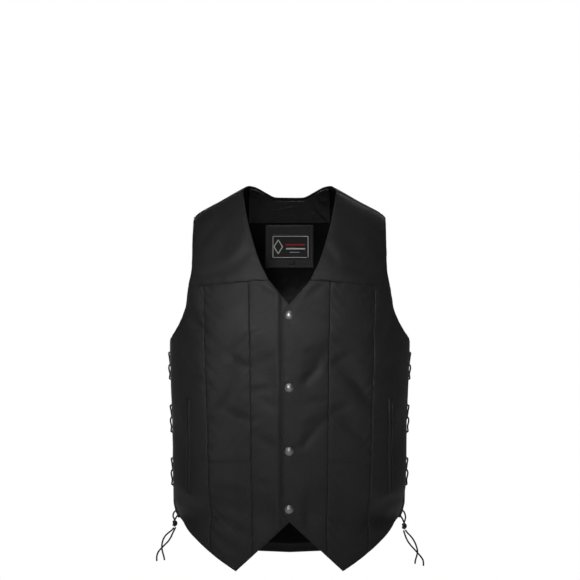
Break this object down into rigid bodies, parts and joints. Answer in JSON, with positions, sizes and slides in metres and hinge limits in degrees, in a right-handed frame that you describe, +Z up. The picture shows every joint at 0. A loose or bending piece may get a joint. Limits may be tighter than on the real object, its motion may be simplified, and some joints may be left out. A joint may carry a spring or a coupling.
{
  "type": "side-lace vest with several pockets",
  "caption": "Black textile V-neck vest, filled out with no wearer: snap front, pointed hem, welt pockets, laced sides and a plain back.",
  "frame": {"origin": "on the centre line of the shoulder ridge, level with the two neck points, where a wearer's shoulders hold the vest", "axes": "+Z up, the front faces -Y, +X is the wearer's left"},
  "size_m": [0.4888, 0.2738, 0.6972],
  "materials": {
    "shell_cloth": "black woven textile, fine plain weave, low sheen",
    "yoke_cloth": "the same black textile, slightly smoother",
    "lining": "black satin lining, soft gloss, wrinkled",
    "facing": "black grained facing, creased",
    "patch": "charcoal patch, matt",
    "label": "black woven label with a thin pale frame",
    "snap_metal": "brushed pewter",
    "eyelet_metal": "dark plated",
    "lace_leather": "black leather cord"
  },
  "bodies": {
    "root": {"yoke_right": "yoke_cloth", "yoke_left": "yoke_cloth", "centre_front_right": "shell_cloth", "centre_front_left": "shell_cloth", "middle_front_right": "shell_cloth", "middle_front_left": "shell_cloth", "side_front_right": "shell_cloth", "side_front_left": "shell_cloth", "back": "shell_cloth", "welt_right": "shell_cloth", "welt_left": "shell_cloth", "lining_back": "lining", "lining_front_right": "lining", "lining_front_left": "lining", "neck_facing": "facing", "label_patch": "patch", "label": "label", "size_tab": "label", "snap_1": "snap_metal", "snap_2": "snap_metal", "snap_3": "snap_metal", "snap_4": "snap_metal", "eyelet_right_front_1": "eyelet_metal", "eyelet_right_front_2": "eyelet_metal", "eyelet_right_front_3": "eyelet_metal", "eyelet_right_front_4": "eyelet_metal", "eyelet_right_front_5": "eyelet_metal", "eyelet_right_front_6": "eyelet_metal", "eyelet_right_front_7": "eyelet_metal", "eyelet_right_back_1": "eyelet_metal", "eyelet_right_back_2": "eyelet_metal", "eyelet_right_back_3": "eyelet_metal", "eyelet_right_back_4": "eyelet_metal", "eyelet_right_back_5": "eyelet_metal", "eyelet_right_back_6": "eyelet_metal", "eyelet_right_back_7": "eyelet_metal", "eyelet_left_front_1": "eyelet_metal", "eyelet_left_front_2": "eyelet_metal", "eyelet_left_front_3": "eyelet_metal", "eyelet_left_front_4": "eyelet_metal", "eyelet_left_front_5": "eyelet_metal", "eyelet_left_front_6": "eyelet_metal", "eyelet_left_front_7": "eyelet_metal", "eyelet_left_back_1": "eyelet_metal", "eyelet_left_back_2": "eyelet_metal", "eyelet_left_back_3": "eyelet_metal", "eyelet_left_back_4": "eyelet_metal", "eyelet_left_back_5": "eyelet_metal", "eyelet_left_back_6": "eyelet_metal", "eyelet_left_back_7": "eyelet_metal", "lace_right": "lace_leather", "lace_left": "lace_leather", "lace_knot_right": "lace_leather", "lace_knot_left": "lace_leather", "lace_tail_right_1": "lace_leather", "lace_tail_right_2": "lace_leather", "lace_tail_left_1": "lace_leather", "lace_tail_left_2": "lace_leather"}
  },
  "joints": []
}
